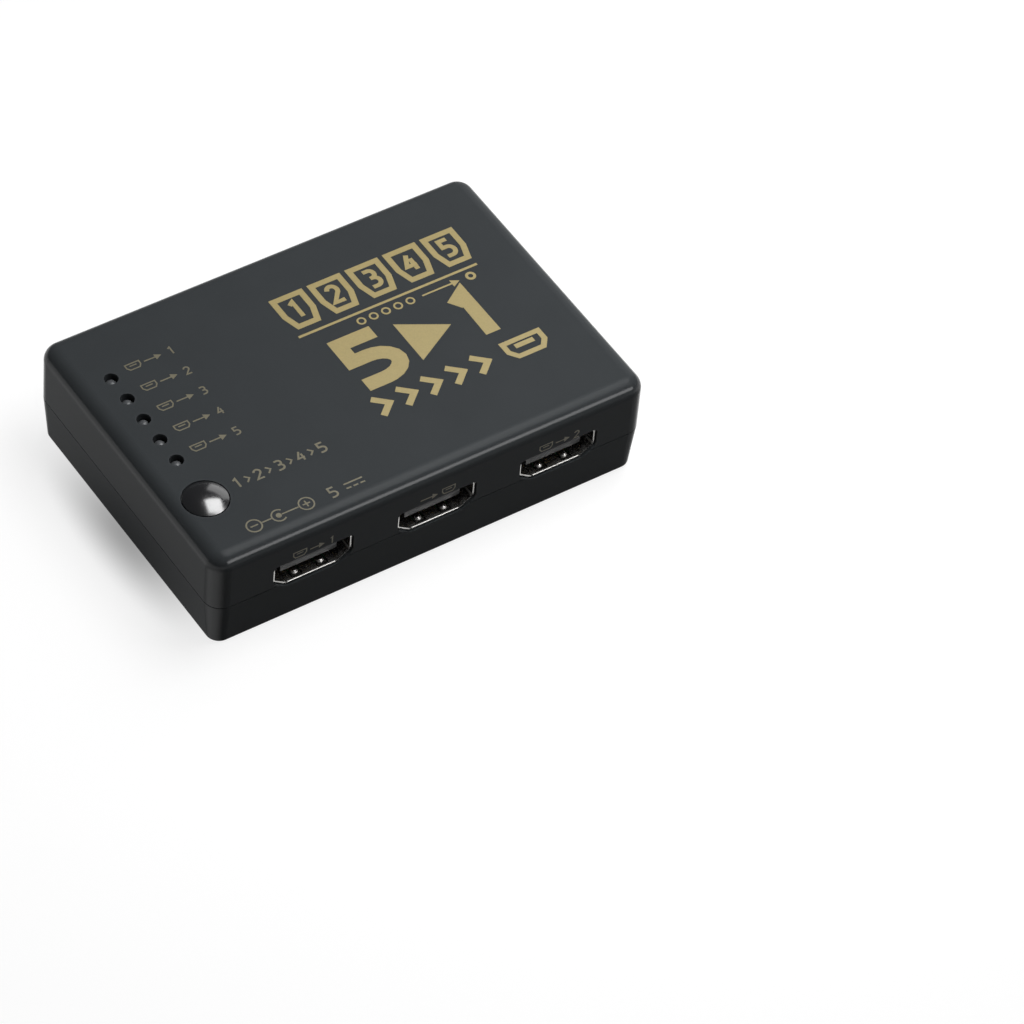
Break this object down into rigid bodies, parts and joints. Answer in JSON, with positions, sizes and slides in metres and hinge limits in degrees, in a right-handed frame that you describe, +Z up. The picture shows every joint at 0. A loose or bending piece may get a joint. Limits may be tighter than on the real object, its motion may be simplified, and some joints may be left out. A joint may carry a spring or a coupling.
{
  "type": "video switch box",
  "caption": "Low rectangular two-part plastic box that selects between video sources, with video sockets front and rear, a row of indicator lamps and a sprung select button on top.",
  "frame": {"origin": "middle of the underside, on the table", "axes": "+X along the long socket sides towards the jack end, -Y towards the front sockets, +Z up"},
  "size_m": [0.0852, 0.058, 0.022],
  "materials": {
    "case_plastic": "fine satin texture",
    "button_plastic": "polished",
    "lamp_lens": "diffuse lens",
    "socket_steel": "nickel plated",
    "socket_plastic": "moulded",
    "contact_gold": "gold flash",
    "screw_steel": "blackened",
    "board_laminate": "solder mask",
    "switch_plastic": "moulded",
    "spring_steel": "bright",
    "tinned_leads": "tinned",
    "spacer_plastic": "moulded",
    "jack_plastic": "moulded",
    "chip_plastic": "moulded",
    "can_aluminium": "drawn",
    "chip_ceramic": "fired",
    "print_ink": "gold pad print, 0.02 mm thick"
  },
  "bodies": {
    "case": {"lower_shell": "case_plastic", "upper_shell": "case_plastic", "case_screws": "screw_steel", "main_board": "board_laminate", "switch_dome": "spring_steel", "switch_base": "switch_plastic", "switch_cover": "spring_steel", "switch_legs": "tinned_leads", "led_spacers": "spacer_plastic", "led_legs": "tinned_leads", "power_jack_body": "jack_plastic", "power_jack_pin": "spring_steel", "power_jack_contacts": "tinned_leads", "eye_jack_body": "jack_plastic", "eye_jack_contacts": "tinned_leads", "switch_chip": "chip_plastic", "switch_chip_leads": "tinned_leads", "control_chip": "chip_plastic", "control_chip_leads": "tinned_leads", "regulator": "chip_plastic", "regulator_leads": "tinned_leads", "crystal": "spring_steel", "can_capacitors": "can_aluminium", "chip_capacitors": "chip_ceramic", "chip_resistors": "chip_plastic", "esd_chips": "chip_plastic", "led_1": "lamp_lens", "led_2": "lamp_lens", "led_3": "lamp_lens", "led_4": "lamp_lens", "led_5": "lamp_lens", "input_1_shell": "socket_steel", "input_1_insulator": "socket_plastic", "input_1_contacts": "contact_gold", "output_shell": "socket_steel", "output_insulator": "socket_plastic", "output_contacts": "contact_gold", "input_2_shell": "socket_steel", "input_2_insulator": "socket_plastic", "input_2_contacts": "contact_gold", "input_3_shell": "socket_steel", "input_3_insulator": "socket_plastic", "input_3_contacts": "contact_gold", "input_4_shell": "socket_steel", "input_4_insulator": "socket_plastic", "input_4_contacts": "contact_gold", "input_5_shell": "socket_steel", "input_5_insulator": "socket_plastic", "input_5_contacts": "contact_gold"},
    "button": {"select_button": "button_plastic", "switch_plunger": "switch_plastic"}
  },
  "joints": [
    {"name": "select_press", "type": "slide", "parent": "case", "child": "button", "axis": [0, 0, -1], "range_m": [0, 0.0004], "stiffness_N_per_m": 3200, "deforming": ["switch_dome"]}
  ]
}
